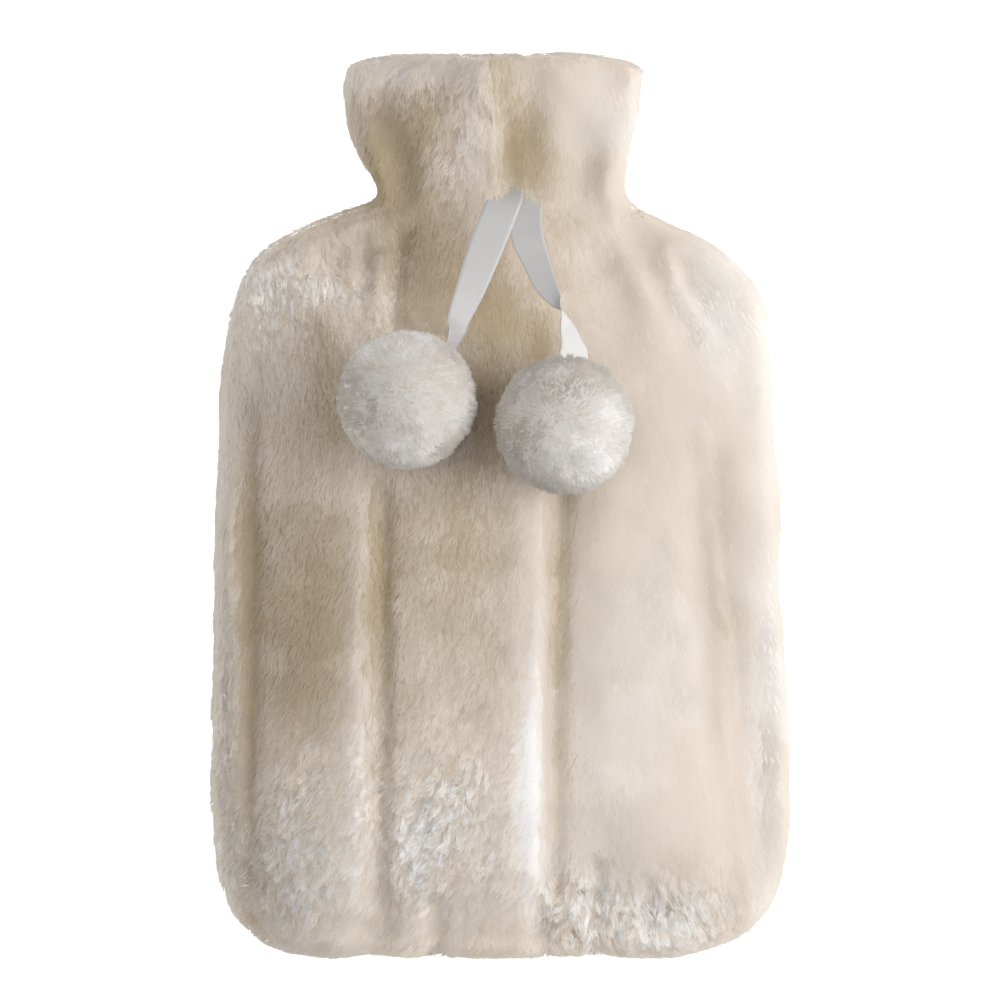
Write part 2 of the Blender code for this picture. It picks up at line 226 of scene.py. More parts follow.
def creased(points, creases):
    """How deep the creases are at each point: the deepest trough less the highest ridge."""
    trough, ridge = np.zeros(len(points)), np.zeros(len(points))
    for c in creases:
        dx, dy = c.x2 - c.x1, c.y2 - c.y1
        t = ((points[:, 0] - c.x1) * dx + (points[:, 1] - c.y1) * dy) / (dx * dx + dy * dy)
        t = np.clip(t, 0, 1)
        off = np.hypot(points[:, 0] - c.x1 - t * dx, points[:, 1] - c.y1 - t * dy)
        fold = c.depth * np.exp(-((off / c.half_width) ** 2))
        trough, ridge = np.maximum(trough, fold), np.minimum(ridge, fold)
    return trough + ridge


Nudge = namedtuple("Nudge", "x y dx dy reach")
NUDGES = in_metres(Nudge, Nudge._fields, (
    (-59, 174, -0.3, 1.6, 10),
    (55, 174, 1, 0.8, 9),
    (-6, 181, 0, -1.8, 28),
    (-55, 124, 4, -0.5, 6.5),
    (104, 72, 2.2, 1, 22),
    (109, -6, 2.8, 0, 22),
))


def nudged(points):
    """The points, drawn a little way to where the cover's edge lies."""
    moved = points.copy()
    for n in NUDGES:
        near = np.exp(-((points[:, 0] - n.x) ** 2 + (points[:, 1] - n.y) ** 2) / n.reach**2)
        moved[:, 0] += n.dx * near
        moved[:, 1] += n.dy * near
    return moved


print("creases:", len(FRONT_CREASES), len(BACK_CREASES), "nudges:", len(NUDGES))

# %% [markdown]
# ## The skin of the pile
#
# The solids give the place of the pile's tips. Their outer faces are copied, joined up, rounded
# off with a subdivision surface and creased. The result is only measured, never shown: the cloth
# is shrunk from it and every strand of pile is rooted under it.

# %% Measure the outer skin of each panel
Skin = namedtuple("Skin", "points normals faces tree")


def outer_faces(node, side, with_hem):
    """A bmesh of a panel's outer faces: side is 1 for the front and -1 for the back."""
    bm = bmesh.new()
    bm.from_mesh(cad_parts[node].data)
    bmesh.ops.remove_doubles(bm, verts=bm.verts[:], dist=2e-6)
    bm.normal_update()
    hidden = [
        f for f in bm.faces
        if side * f.normal.z < 1e-4 and not (with_hem and f.normal.y > 0.7)
    ]
    bmesh.ops.delete(bm, geom=hidden, context="FACES")
    bmesh.ops.holes_fill(bm, edges=[e for e in bm.edges if e.is_boundary], sides=4)
    bmesh.ops.join_triangles(
        bm, faces=bm.faces[:], angle_face_threshold=math.pi, angle_shape_threshold=math.pi
    )
    return bm


def rounded(bm, levels, creases):
    """A mesh of that bmesh after a subdivision surface, with the creases pressed into it."""
    mesh = bpy.data.meshes.new("rounded")
    bm.to_mesh(mesh)
    bm.free()
    helper = link("helper", mesh)
    smooth = helper.modifiers.new("round off", "SUBSURF")
    smooth.levels = levels
    smooth.render_levels = levels
    graph = bpy.context.evaluated_depsgraph_get()
    made = bpy.data.meshes.new_from_object(helper.evaluated_get(graph))
    bpy.data.objects.remove(helper)
    bpy.data.meshes.remove(mesh)
    points, normals = corners_of(made)
    points -= normals * creased(points, creases)[:, None]
    made.vertices.foreach_set("co", nudged(points).ravel())
    made.update()
    return made


def corners_of(mesh):
    """A mesh's vertices and their normals, as arrays."""
    points = np.empty(len(mesh.vertices) * 3)
    normals = np.empty(len(mesh.vertices) * 3)
    mesh.vertices.foreach_get("co", points)
    mesh.vertices.foreach_get("normal", normals)
    return points.reshape(-1, 3), normals.reshape(-1, 3)


def skin_of(mesh):
    """The mesh as arrays, with a tree that finds the nearest place on it."""
    mesh.calc_loop_triangles()
    faces = np.empty(len(mesh.loop_triangles) * 3, np.int32)
    mesh.loop_triangles.foreach_get("vertices", faces)
    faces = faces.reshape(-1, 3)
    points, normals = corners_of(mesh)
    return Skin(points, normals, faces, BVHTree.FromPolygons(points.tolist(), faces.tolist()))


front_skin = skin_of(rounded(outer_faces("front_panel", 1, True), 3, FRONT_CREASES))
back_skin = skin_of(rounded(outer_faces("back_panel", -1, True), 2, BACK_CREASES))
print("skin triangles:", len(front_skin.faces), len(back_skin.faces))

# %% [markdown]
# ## Two effects that materials share
#
# A node group is made once and placed in each material with its own values. `fibre_tone`
# colours a strand from two numbers that the strand's UV map holds: how light this strand is, painted
# light and shade included, and how far along it a point lies. Towards the root it darkens the colour
# to the deep one, as painted shade. `plain_weave` gives threads that cross over and under, for the
# ribbon and the backing.

# %% Build the shared node groups


def group_with(name, inputs, outputs):
    """An empty shader group with those sockets, its input node and its output node."""
    group = bpy.data.node_groups.new(name, "ShaderNodeTree")
    for label, kind, value in inputs:
        socket = group.interface.new_socket(label, in_out="INPUT", socket_type="NodeSocket" + kind)
        if value is not None:
            socket.default_value = value
    for label, kind in outputs:
        group.interface.new_socket(label, in_out="OUTPUT", socket_type="NodeSocket" + kind)
    return group, group.nodes.new("NodeGroupInput"), group.nodes.new("NodeGroupOutput")


def placed(tree, kind, **values):
    """A new shader node of that kind, with plain values on the sockets named."""
    node = tree.nodes.new("ShaderNode" + kind)
    set_inputs(node, values)
    return node


def feed(tree, sockets, given):
    """Links each socket to another node's output, or sets it to a plain value."""
    for socket, value in zip(sockets, given):
        if isinstance(value, bpy.types.NodeSocket):
            tree.links.new(value, socket)
        else:
            socket.default_value = value


def parted(tree, vector):
    """The X, Y and Z of a vector, as the outputs of a node."""
    node = placed(tree, "SeparateXYZ")
    tree.links.new(vector, node.inputs[0])
    return node.outputs


def ranged(tree, value, low, high, new_low=0.0, new_high=1.0):
    """A Map Range node that eases from one range to another."""
    node = placed(tree, "MapRange")
    node.interpolation_type = "SMOOTHSTEP"
    labels = ("Value", "From Min", "From Max", "To Min", "To Max")
    feed(tree, [node.inputs[label] for label in labels], (value, low, high, new_low, new_high))
    return node.outputs["Result"]


def mixed(tree, factor, first, second, blend="MIX"):
    """A colour Mix node; its colours are sockets or plain values."""
    node = placed(tree, "Mix")
    node.data_type = "RGBA"
    node.blend_type = blend
    feed(tree, (node.inputs[0], node.inputs[6], node.inputs[7]), (factor, first, second))
    return node.outputs[2]


def sums(tree, operation, first, second):
    """A Math node on two sockets or numbers."""
    node = placed(tree, "Math")
    node.operation = operation
    feed(tree, node.inputs, (first, second))
    return node.outputs[0]


fibre_tone, entry, leave = group_with(
    "fibre_tone",
    [
        ("Strand", "Vector", None),
        ("Deep", "Color", (0.5, 0.4, 0.3, 1)),
        ("Middle", "Color", (0.7, 0.6, 0.5, 1)),
        ("Bright", "Color", (0.9, 0.9, 0.9, 1)),
        ("Root Shade", "Float", 0.5),
    ],
    [("Color", "Color")],
)
strand = parted(fibre_tone, entry.outputs["Strand"])
darker = ranged(fibre_tone, strand["X"], 0.0, 0.5)
lighter = ranged(fibre_tone, strand["X"], 0.5, 1.0)
# towards the root the colour darkens to the deep one: painted shade among the fibres
rooted = ranged(fibre_tone, strand["Y"], 0.1, 0.8, 1.0, 0.0)
toned = mixed(fibre_tone, darker, entry.outputs["Deep"], entry.outputs["Middle"])
toned = mixed(fibre_tone, lighter, toned, entry.outputs["Bright"])
shaded = mixed(fibre_tone, 1.0, toned, entry.outputs["Deep"], "MULTIPLY")
low = sums(fibre_tone, "MULTIPLY", rooted, entry.outputs["Root Shade"])
fibre_tone.links.new(mixed(fibre_tone, low, toned, shaded), leave.inputs["Color"])

plain_weave, entry, leave = group_with(
    "plain_weave",
    [
        ("Place", "Vector", None),
        ("Threads Across", "Float", 1000.0),
        ("Threads Along", "Float", 1000.0),
    ],
    [("Height", "Float"), ("Gaps", "Float")],
)
place = parted(plain_weave, entry.outputs["Place"])
waves = []
for axis, threads in (("X", "Threads Across"), ("Y", "Threads Along")):
    turns = sums(plain_weave, "MULTIPLY", place[axis], entry.outputs[threads])
    angle = sums(plain_weave, "MULTIPLY", turns, 2 * math.pi)
    waves.append(sums(plain_weave, "SINE", angle, 0.0))
crossing = sums(plain_weave, "MULTIPLY", waves[0], waves[1])
plain_weave.links.new(ranged(plain_weave, crossing, -1, 1), leave.inputs["Height"])
plain_weave.links.new(ranged(plain_weave, crossing, -1, -0.4, 1.0, 0.0), leave.inputs["Gaps"])
print("groups:", [group.name for group in bpy.data.node_groups])

# %% [markdown]
# ## The materials
#
# Plush and wool are soft because light scatters among their fibres. Sheen is what a shader offers
# for that: it lifts the edges of a fold to near white. The colour that shows in a fold is deeper
# than the colour of the tips. That is shade, so it is painted: each strand darkens to a deep tan
# at its root. The cloth that the pile stands on reads the same tone, painted light and shade
# included, from an attribute which is painted on it further down, so nothing of another colour
# shows between the strands. The satin has a paler back, a painted highlight where the right tail
# turns over towards the lamp. The weaves are darker in the gaps between their threads, as painted
# shade.

# %% Mix the cloth, pile, wool and ribbon materials
PLUSH_COLOURS = ((0.53, 0.425, 0.285), (0.80, 0.725, 0.635), (0.94, 0.92, 0.90))
# how far a plush strand darkens at its root: painted shade deep in the pile
PLUSH_ROOT_SHADE = 0.35
WOOL_COLOURS = ((0.49, 0.42, 0.345), (0.70, 0.64, 0.57), (0.93, 0.91, 0.885))
# how far a wool strand darkens at its root: painted shade deep in the pompom
WOOL_ROOT_SHADE = 0.40
FIBRE_LOOK = {
    "Roughness": 0.62,
    "Specular IOR Level": 0.35,
    "Sheen Roughness": 0.35,
    "Sheen Tint": (1.0, 0.98, 0.95, 1),
}
SELVEDGE = (0.0053, 0.0057)  # metres from the ribbon's middle where its edge starts and is full


def place_group(tree, group, values):
    """The group's node in that tree, with plain values on the sockets named."""
    node = placed(tree, "Group")
    node.node_tree = group
    set_inputs(node, values)
    return node


def toned_by(tree, strand, colours, root_shade):
    """The colour of fibres: strand is the socket with their tone and depth."""
    values = {label: (*given, 1) for label, given in zip(("Deep", "Middle", "Bright"), colours)}
    tone = place_group(tree, fibre_tone, values | {"Root Shade": root_shade})
    tree.links.new(strand, tone.inputs["Strand"])
    return tone.outputs["Color"]


def woven(tree, place, across, along):
    """The plain weave at a place, with so many threads to the metre each way."""
    threads = {"Threads Across": across, "Threads Along": along}
    weave = place_group(tree, plain_weave, threads)
    tree.links.new(place, weave.inputs["Place"])
    return weave.outputs


def fine_noise(tree, scale):
    """Fine noise that stays with the piece."""
    place = placed(tree, "TexCoord")
    grain = placed(tree, "TexNoise", Scale=scale, Detail=3.0)
    tree.links.new(place.outputs["Object"], grain.inputs["Vector"])
    return grain.outputs["Fac"]


def bumped(tree, shader, height, distance, strength):
    """Turns the shader's normal by a height."""
    bump = placed(tree, "Bump", Distance=distance, Strength=strength)
    tree.links.new(height, bump.inputs["Height"])
    tree.links.new(bump.outputs["Normal"], shader.inputs["Normal"])


def fibre_material(name, colours, root_shade, sheen):
    """A material for strands that carry the OFBake map."""
    material, tree, shader = new_material(name, FIBRE_LOOK | {"Sheen Weight": sheen})
    strand = placed(tree, "UVMap")
    strand.uv_map = "OFBake"
    colour = toned_by(tree, strand.outputs["UV"], colours, root_shade)
    tree.links.new(colour, shader.inputs["Base Color"])
    return material


def satin_side(name, threads, gaps, edge, roughness):
    """One side of the ribbon."""
    look = {"Roughness": roughness, "Specular IOR Level": 0.8, "Sheen Weight": 0.15}
    material, tree, shader = new_material(name, look)
    place = placed(tree, "UVMap")
    place.uv_map = "Cloth"
    weave = woven(tree, place.outputs["UV"], 2600.0, 900.0)
    from_middle = sums(tree, "ABSOLUTE", parted(tree, place.outputs["UV"])["X"], 0.0)
    # the gaps between threads take the darker colour: painted shade
    colour = mixed(tree, weave["Gaps"], (*threads, 1), (*gaps, 1))
    colour = mixed(tree, ranged(tree, from_middle, *SELVEDGE), colour, (*edge, 1))
    tree.links.new(colour, shader.inputs["Base Color"])
    bumped(tree, shader, weave["Height"], 0.00005, 0.5)
    return material


plush = fibre_material("plush_pile", PLUSH_COLOURS, PLUSH_ROOT_SHADE, 0.30)
wool = fibre_material("pompom_wool", WOOL_COLOURS, WOOL_ROOT_SHADE, 0.20)
satin = satin_side("satin_face", (0.57, 0.56, 0.545), (0.50, 0.49, 0.475), (0.66, 0.65, 0.635), 0.36)
# the back is painted paler: a painted highlight where the right tail turns over towards the lamp
satin_back_painted_highlight = satin_side("satin_back_painted_highlight", (0.80, 0.78, 0.75), (0.72, 0.70, 0.67), (0.84, 0.82, 0.79), 0.5)

knit, tree, shader = new_material("knitted_backing", {"Roughness": 0.85, "Sheen Weight": 0.2})
weave = woven(tree, placed(tree, "TexCoord").outputs["Object"], 620.0, 450.0)
# the knit is painted darker in the gaps between its threads, as painted shade
colour = mixed(tree, weave["Gaps"], (0.74, 0.66, 0.55, 1), (0.58, 0.49, 0.38, 1))
tree.links.new(colour, shader.inputs["Base Color"])
bumped(tree, shader, weave["Height"], 0.0003, 1.0)

ground, tree, shader = new_material("plush_ground", {"Roughness": 0.8, "Sheen Weight": 0.25})
fluff = fine_noise(tree, 700.0)
# the cloth's tone and depth, with their painted light and shade, come from an attribute
tone_and_shade_node = placed(tree, "Attribute")
tone_and_shade_node.attribute_name = "tone_and_painted_shade"
tone_and_shade_parts = parted(tree, tone_and_shade_node.outputs["Vector"])
strand = placed(tree, "CombineXYZ")
specks = ranged(tree, fluff, 0.2, 0.8, -0.1, 0.2)
feed(tree, strand.inputs, (tone_and_shade_parts["X"], sums(tree, "ADD", tone_and_shade_parts["Y"], specks)))
colour = toned_by(tree, strand.outputs["Vector"], PLUSH_COLOURS, PLUSH_ROOT_SHADE)
tree.links.new(colour, shader.inputs["Base Color"])
bumped(tree, shader, fluff, 0.0006, 0.5)

felt, tree, shader = new_material("felted_wool", {"Roughness": 0.9})
colour = mixed(tree, fine_noise(tree, 900.0), (0.62, 0.59, 0.55, 1), (0.74, 0.72, 0.69, 1))
tree.links.new(colour, shader.inputs["Base Color"])
print("materials:", [material.name for material in bpy.data.materials])

# %% [markdown]
# ## The two cuts of plush
#
# Plush is knitted: its pile stands so close on a thin backing that only the outermost couple of
# millimetres can be told apart as strands. So each cut is one closed sheet. Its outer face is the
# skin, moved in to where the pile closes up, and pushed down where a crease would lay it bare. A
# copy of that face, moved in further and smoothed, is the knitted back, which shows inside the
# mouth, and a bridge closes the two along the seam.

# %% Cut the two panels
DENSE = 0.0019  # how far below the tips the pile closes up
CLOTH = 0.0050  # from there to the knitted back
LEAST_CLOTH = 0.0016  # where a crease presses the two together
SEAM_ENDS = (-0.0598, 0.0542)  # the seam is tucked in where it ends at the mouth
MOUTH_Y = 0.165


def move_in(bm, verts, distance, rounds):
    """Moves vertices against their normals, then smooths them but for the open edge."""
    bm.normal_update()
    moves = [v.normal * -distance for v in verts]
    for v, move in zip(verts, moves):
        v.co += move
    inside = [v for v in verts if not v.is_boundary]
    for _ in range(rounds):
        bmesh.ops.smooth_vert(
            bm, verts=inside, factor=0.5, use_axis_x=True, use_axis_y=True, use_axis_z=True
        )


def sink(bm, skin, creases):
    """Pushes the cloth down where a crease of the skin comes too near it."""
    folded = skin.points[(creased(skin.points, creases) > 0.0005) & (skin.points[:, 1] < 0.174)]
    for _ in range(3):
        bm.normal_update()
        bm.faces.ensure_lookup_table()
        tree = BVHTree.FromBMesh(bm)
        push = {}
        for point in folded:
            near, normal, face, _ = tree.find_nearest(Vector(point))
            short = 0.8 * DENSE - (Vector(point) - near).dot(normal)
            if short > 0:
                for v in bm.faces[face].verts:
                    push[v] = max(push.get(v, 0), short)
        for v, short in push.items():
            v.co -= v.normal * short
    print("pushed down:", len(push))


def tuck(verts, within):
    """Keeps the ends of the seam at the mouth inside the pile."""
    for v in verts:
        if v.co.y > MOUTH_Y:
            v.co.x = min(max(v.co.x, SEAM_ENDS[0] + within), SEAM_ENDS[1] - within)


def cut_of_plush(name, node, side, levels, creases, skin):
    """One panel of plush as a closed sheet, with its knitted back as a second material."""
    mesh = rounded(outer_faces(node, side, False), levels, creases)
    bm = bmesh.new()
    bm.from_mesh(mesh)
    bpy.data.meshes.remove(mesh)
    outer = bm.verts[:]
    move_in(bm, outer, DENSE, 1)
    sink(bm, skin, creases)
    tuck(outer, 0)
    copied = bmesh.ops.duplicate(bm, geom=bm.verts[:] + bm.edges[:] + bm.faces[:])
    inner = [v for v in copied["geom"] if isinstance(v, bmesh.types.BMVert)]
    knitted = [f for f in copied["geom"] if isinstance(f, bmesh.types.BMFace)]
    move_in(bm, inner, CLOTH, 8)
    for v in outer:
        back = copied["vert_map"][v]
        depth = (v.co - back.co).dot(v.normal)
        back.co -= v.normal * max(LEAST_CLOTH - depth, 0)
    tuck(inner, 0.0005)
    bmesh.ops.reverse_faces(bm, faces=knitted)
    for face in knitted:
        face.material_index = 1
    bmesh.ops.bridge_loops(bm, edges=[e for e in bm.edges if e.is_boundary])
    bmesh.ops.recalc_face_normals(bm, faces=bm.faces[:])
    unsewn = sum(not e.is_manifold for e in bm.edges)
    print(name, "faces:", len(bm.faces), "open edges:", unsewn, "cloth:", bm.calc_volume(signed=True))
    made = bpy.data.meshes.new(name)
    bm.to_mesh(made)
    bm.free()
    made.shade_smooth()
    made.materials.append(ground)
    made.materials.append(knit)
    return link(name, made)


front_cloth = cut_of_plush("plush_front", "front_panel", 1, 2, FRONT_CREASES, front_skin)
back_cloth = cut_of_plush("plush_back", "back_panel", -1, 1, BACK_CREASES, back_skin)

# %% [markdown]
# ## How the pile lies
#
# Pile has a nap: it leans the way that it was last brushed. Here and there it was ruffled and
# stands in separate tufts, which catch the light. A `Brushed` row turns the nap round a place. A
# `Patch` row makes an oval of plush lighter or darker, and more or less ruffled. Most of that
# lightening and darkening is painted light and shade: paler where a slope faces the lamp or a rim
# would show sheen, darker where shade falls in a fold, a hollow or round the pompoms and the
# ribbon. Its column `away` tilts the shading away from the lamp, which greys a place without
# browning it, and `turn` turns the oval by degrees.

# %% Place the nap and the ruffled patches
Brushed = namedtuple("Brushed", "x y bearing reach")
NAP = in_metres(Brushed, ("x", "y", "reach"), (
    (-90, 90, -60, 30),
    (-60, 60, -80, 30),
    (-20, 150, -105, 30),
    (30, 150, -80, 30),
    (85, 80, -65, 30),
    (0, 60, -95, 30),
    (-80, -20, -100, 40),
    (0, -40, -100, 40),
    (80, -20, -85, 40),
    (-80, -110, -120, 30),
    (-20, -120, -120, 30),
    (30, -130, -105, 30),
    (65, -160, -60, 25),
    (-106, -140, -125, 20),
))

Patch = namedtuple("Patch", "x y across along light ruffle away turn", defaults=(0, 0))
FRONT_PATCHES = in_metres(Patch, ("x", "y", "across", "along"), (
    # the right side and its shoulder, smooth and pale: painted light on the side towards the lamp,
    # with painted shade in its folds
    (70, -55, 42, 72, 0.3, -0.3, 0.28),
    (74, 10, 26, 50, 0, 0, 0.1),
    (86, 80, 30, 40, 0.46, -0.3, 0.2),
    (109, -80, 8, 85, 0.3, -0.3, 0.46),
    (99, -110, 6, 55, 0.12, 0, -0.6, 7),
    (101, -90, 4.5, 60, 0.08, 0, -0.35),
    (106, 30, 8, 55, 0.18, 0, -0.08),
    (87, -48, 8, 36, -0.26, 0, 0.16, 6),
    (64, 76, 16, 30, -0.1, 0, 0.12),
    # the collar: its right half, its top corner, its lap, with painted light where they are lit and
    # painted shade in its hollows
    (42, 156, 22, 26, 0.32, -0.3, 0.24),
    (22, 140, 8, 30, -0.16, 0),
    (1, 168, 6, 11, -0.22, 0, 0.15),
    (-8.5, 146, 5, 16, 0.1, -0.3, -0.2),
    (-28, 150, 10, 10, -0.22, 0),
    (32, 120, 12, 14, 0.12, 0),
    (0, 181, 60, 6, 0.06, 0, 0.25),
    (-52, 150, 14, 26, -0.04, 0, 0.22),
    (56, 150, 6, 30, 0.15, 0),
    (-46, 174, 22, 7, 0.35, 0.2, 0.1),
    (-30, 164, 20, 8, -0.15, 0.3, 0.15),
    (-11, 156, 9, 18, 0.2, 0.5),
    (-20, 138, 9, 10, 0.18, 0.6, 0, -20),
    # the left shoulder and rim: ruffled tufts made paler, painted light on the rim where sheen would
    # show, and painted shade in its hollows and lower corner
    (-88, 86, 22, 20, 0.34, 0.8, 0.24),
    (-94.4, 92, 8, 9, 0.24, 0.3),
    (-72.4, 86.8, 5, 5, 0.22, 0.3),
    (-94.4, 66.8, 6, 5, 0.16, 0.3),
    (-72, 68, 12, 10, -0.22, 0),
    (-62, 106, 12, 18, -0.04, 0, 0.25),
    (-60, 86, 9, 20, 0.2, 0.4),
    (-48, 74, 6, 12, 0.14, 0.4),
    (-110, 30, 10, 60, 0.28, 0, 0.3),
    (-111, -90, 7, 75, 0.24, 0.6, 0.9),
    (-106, -90, 8, 75, 0, 0, 0.3),
    (-94, -150, 20, 28, 0.1, 0.3, 0.9),
    (-98, -162, 12, 12, -0.2, 0, 0.1),
    (-76, -177, 30, 8, 0.05, 0, 0.35),
    (-53, -108, 6, 26, 0.14, 0.4),
    # the foot: ruffled tufts made paler, partly as painted light, with painted shade beside its
    # pleats
    (-78, -145, 24, 30, 0.38, 0.5, 0.12),
    (-32, -138, 12, 28, 0.28, 0.4),
    (66, -170, 18, 10, 0.2, 0),
    (12, -170, 10, 12, -0.08, 0, 0.15),
    (10, -120, 8, 50, 0.26, 0, -0.34),
    (-80, -110, 10, 18, 0.15, 0.5, 0, -30),
    (-18, -128, 26, 36, 0.28, 0.4),
    (-16, -113, 7, 14, 0.18, 0.6, 0, -35),
    (-30, -135, 10, 10, 0.3, 0.6, 0, -30),
    (-4, -145, 5, 8, 0.12, 0.4),
    (61, -162, 32, 13, 0.34, 0.9, 0, 5),
    (27, -160, 12, 17, 0.24, 0.9),
    (38, -118, 26, 50, 0.2, -0.1, -0.18),
    (70, -176, 22, 10, 0.1, 0.2, -0.1),
    # painted highlight on the rolls beside the two channels, on their slopes towards the lamp
    (14, -85, 5, 80, 0.36, -0.1),
    (-57, -85, 6, 85, 0.26, 0),
    # painted shade: tan where shade falls in folds, hollows, channels and flanges, and painted shadow
    # round the pompoms and the ribbon
    (-74, -42, 24, 48, -0.33, 0),
    (-70, 38, 10, 18, -0.24, 0),
    (-60, 100, 14, 12, -0.05, 0, 0.25, -35),
    (-16, -10, 26, 46, -0.18, 0.15),
    (-16, -90, 24, 40, -0.04, 0.15),
    (-5.5, 36, 6, 14, -0.3, 0),
    (-1, 74, 12, 30, -0.3, 0),
    (15, 66, 6, 12, -0.34, 0),
    (-30, 100, 18, 30, -0.32, 0, 0.04, 10),
    (-44, 138, 10, 16, -0.6, 0, 0, 10),
    (9, 143, 9, 18, -0.4, -0.1),
    (36, 136, 8, 8, -0.22, -0.1),
    (30, 115, 12, 12, -0.1, 0),
    (-100.5, -6, 5.5, 45, -0.34, 0),
    (80, -4, 8, 24, -0.1, 0),
    (-18, -144, 9, 9, -0.14, 0),
    (22.2, -70, 5.5, 85, -0.28, 0.1),
    (-48, -80, 5, 85, -0.08, 0.1),
    (-48, -25, 5, 35, -0.2, 0),
    (-100.5, -100, 4, 60, -0.25, -0.4),
    (92, -70, 3, 50, -0.1, 0, 0, 8),
))


def unit(vectors):
    """The vectors, each one metre long."""
    return vectors / np.maximum(np.linalg.norm(vectors, axis=1), 1e-9)[:, None]


def nap_bearing(points):
    """The way that the pile leans at each point, as level unit vectors."""
    total = np.zeros((len(points), 3))
    for b in NAP:
        off = (points[:, 0] - b.x) ** 2 + (points[:, 1] - b.y) ** 2
        weight = np.exp(-off / (2 * b.reach**2)) + 1e-6
        way = math.radians(b.bearing)
        total += weight[:, None] * np.array([math.cos(way), math.sin(way), 0])
    return unit(total)


def patched(points, patches, column):
    """The patches' sum of one column at each point."""
    total = np.zeros(len(points))
    for p in patches:
        turn = math.radians(p.turn)
        dx, dy = points[:, 0] - p.x, points[:, 1] - p.y
        side = (dx * math.cos(turn) + dy * math.sin(turn)) / p.across
        end = (dy * math.cos(turn) - dx * math.sin(turn)) / p.along
        total += getattr(p, column) * np.exp(-(side**2) - end**2)
    return total


def uneven(points, spacing, seed):
    """Smooth noise from about -1 to 1 at each point."""
    scaled = points / spacing
    return np.array([noise.noise(Vector((x, y, z + seed))) for x, y, z in scaled])


def uneven_ways(points, spacing, seed, step):
    """Three such noises, as a vector at each point."""
    return np.stack([uneven(points, spacing, seed + step * k) for k in range(3)], axis=1)


print("brushed places:", len(NAP), "patches:", len(FRONT_PATCHES))

# %% [markdown]
# ## Strands
#
# A pile of two hundred thousand strands has to be made of the simplest closed shape: a sliver with
# four corners and four faces. One corner is the root and one the tip, and the two between them
# give it its width. All the slivers of a piece share one mesh, which numpy arrays fill at once.
# Each strand's UV map holds its tone across and its length along.
#
# Slivers catch the light like flakes, and plush doesn't. So they are kept nearly flat, each side
# has normals close to those of the plush as a whole, and the pile casts no shadow on itself.

# %% Make a piece of pile from arrays
SLIVER = np.array([(0, 2, 1), (1, 2, 3), (0, 1, 3), (0, 3, 2)])
TONE_WIDTH = 0.004
ROUNDED = 0.12  # how far a strand's shading turns towards its two sides


def pile_piece(name, root, middle, tip, half, tone, hidden, facing, material):
    """One object of slivers.

    half runs from the middle to its right corner. hidden is how much of the strand's length
    lies among the others. facing is the direction that it is shaded for.
    """
    count = len(root)
    corners = np.stack([root, middle - half, middle + half, tip], axis=1).reshape(-1, 3)
    faces = (SLIVER[None] + 4 * np.arange(count)[:, None, None]).reshape(-1)
    mesh = bpy.data.meshes.new(name)
    mesh.vertices.add(4 * count)
    mesh.vertices.foreach_set("co", corners.ravel())
    mesh.loops.add(12 * count)
    mesh.loops.foreach_set("vertex_index", faces)
    mesh.polygons.add(4 * count)
    mesh.polygons.foreach_set("loop_start", np.arange(0, 12 * count, 3))
    mesh.update(calc_edges=True)
    tone = np.clip(tone, 0.01, 0.99)
    across = np.stack([tone, tone - TONE_WIDTH, tone + TONE_WIDTH, tone], axis=1)
    along = np.clip(hidden[:, None] + (1 - hidden)[:, None] * np.array([0.02, 0.5, 0.5, 0.98]), 0, 1)
    places = np.stack([across.ravel(), along.ravel()], axis=1)[faces]
    mesh.uv_layers.new(name="OFBake").uv.foreach_set("vector", places.ravel())
    mesh.materials.append(material)
    mesh.shade_smooth()
    side = unit(half) * ROUNDED
    flat = unit(np.cross(half, tip - root))
    under = facing - 2 * (facing * flat).sum(axis=1)[:, None] * flat
    sides = []
    for way, two_faces in ((facing, SLIVER[:2]), (under, SLIVER[2:])):
        shading = np.stack([way, way - side, way + side, way], axis=1)
        sides.append(shading[:, two_faces.ravel()])
    shading = unit(np.concatenate(sides, axis=1).reshape(-1, 3))
    mesh.normals_split_custom_set(shading.tolist())
    piece = link(name, mesh)
    piece.visible_shadow = False
    print(name, "strands:", count)
    return piece


def face_areas(skin):
    """The area of each face of a skin."""
    a, b, c = (skin.points[skin.faces[:, k]] for k in range(3))
    return 0.5 * np.linalg.norm(np.cross(b - a, c - a), axis=1)


def scatter(skin, count, rng):
    """Random places on a skin, evenly by area, with their normals."""
    area = face_areas(skin)
    face = rng.choice(len(area), size=count, p=area / area.sum())
    u, v = rng.random((2, count))
    over = u + v > 1
    u[over], v[over] = 1 - u[over], 1 - v[over]
    weights = np.stack([1 - u - v, u, v], axis=1)[:, :, None]
    chosen = skin.faces[face]
    points = (skin.points[chosen] * weights).sum(axis=1)
    return points, unit((skin.normals[chosen] * weights).sum(axis=1))


def nearest(points, places):
    """For each point, the number of the place that is nearest to it."""
    finder = KDTree(len(places))
    for k, place in enumerate(places):
        finder.insert(place, k)
    finder.balance()
    return np.array([finder.find(point)[1] for point in points])


def settle(skin, points):
    """The nearest place on the skin to each point, and its normal."""
    found = [skin.tree.find_nearest(Vector(p)) for p in points]
    near = np.array([hit[0] for hit in found])
    return near, np.array([hit[1] for hit in found])


print("corners of a strand:", SLIVER.max() + 1)

# %% [markdown]
# ## Growing the plush
#
# Strands are gathered into tufts a few millimetres apart. A tuft has its own turn, tone and
# height, and draws the tips of its strands together, more where the plush is ruffled and hardly
# at all where it was smoothed. In the middle of a tuft the strands stand higher than at its sides,
# which makes it a lock, and they are painted paler there and darker at the sides, as painted
# light and shade. On a steep bend they lie flatter. Last, the cloth is given the pile's tone, its
# painted light and shade included.

